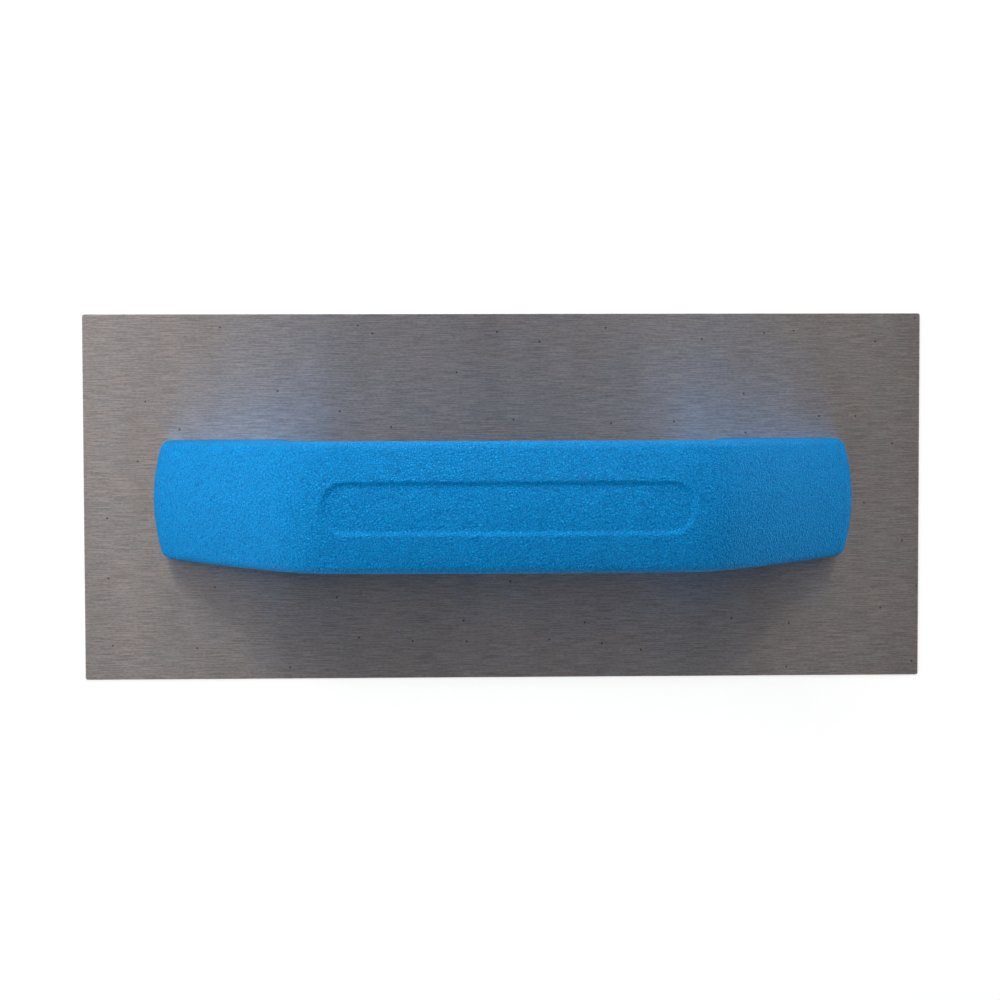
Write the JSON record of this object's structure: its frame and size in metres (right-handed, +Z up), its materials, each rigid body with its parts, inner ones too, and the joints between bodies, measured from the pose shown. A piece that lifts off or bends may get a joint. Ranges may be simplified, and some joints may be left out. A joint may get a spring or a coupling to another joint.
{
  "type": "finishing trowel",
  "caption": "Rectangular steel finishing trowel with a long moulded bridge handle, for smoothing plaster or mortar.",
  "frame": {"origin": "centre of the blade's flat lower working face", "axes": "+X along the blade and the handle, +Y across the blade, +Z up from the blade to the handle"},
  "size_m": [0.28, 0.122, 0.0612],
  "materials": {
    "blade_steel": "ground along the length, lightly oiled",
    "handle_plastic": "blue, fine leather grain",
    "plated_steel": "zinc plated"
  },
  "bodies": {
    "root": {"blade": "blade_steel", "handle_upper_shell": "handle_plastic", "handle_lower_shell": "handle_plastic", "weld_stud_1": "plated_steel", "weld_stud_2": "plated_steel", "weld_stud_3": "plated_steel", "weld_stud_4": "plated_steel", "plain_washer_1": "plated_steel", "plain_washer_2": "plated_steel", "plain_washer_3": "plated_steel", "plain_washer_4": "plated_steel", "spring_washer_1": "plated_steel", "spring_washer_2": "plated_steel", "spring_washer_3": "plated_steel", "spring_washer_4": "plated_steel", "hex_nut_1": "plated_steel", "hex_nut_2": "plated_steel", "hex_nut_3": "plated_steel", "hex_nut_4": "plated_steel", "grip_screw_1": "plated_steel", "grip_screw_2": "plated_steel"}
  },
  "joints": []
}
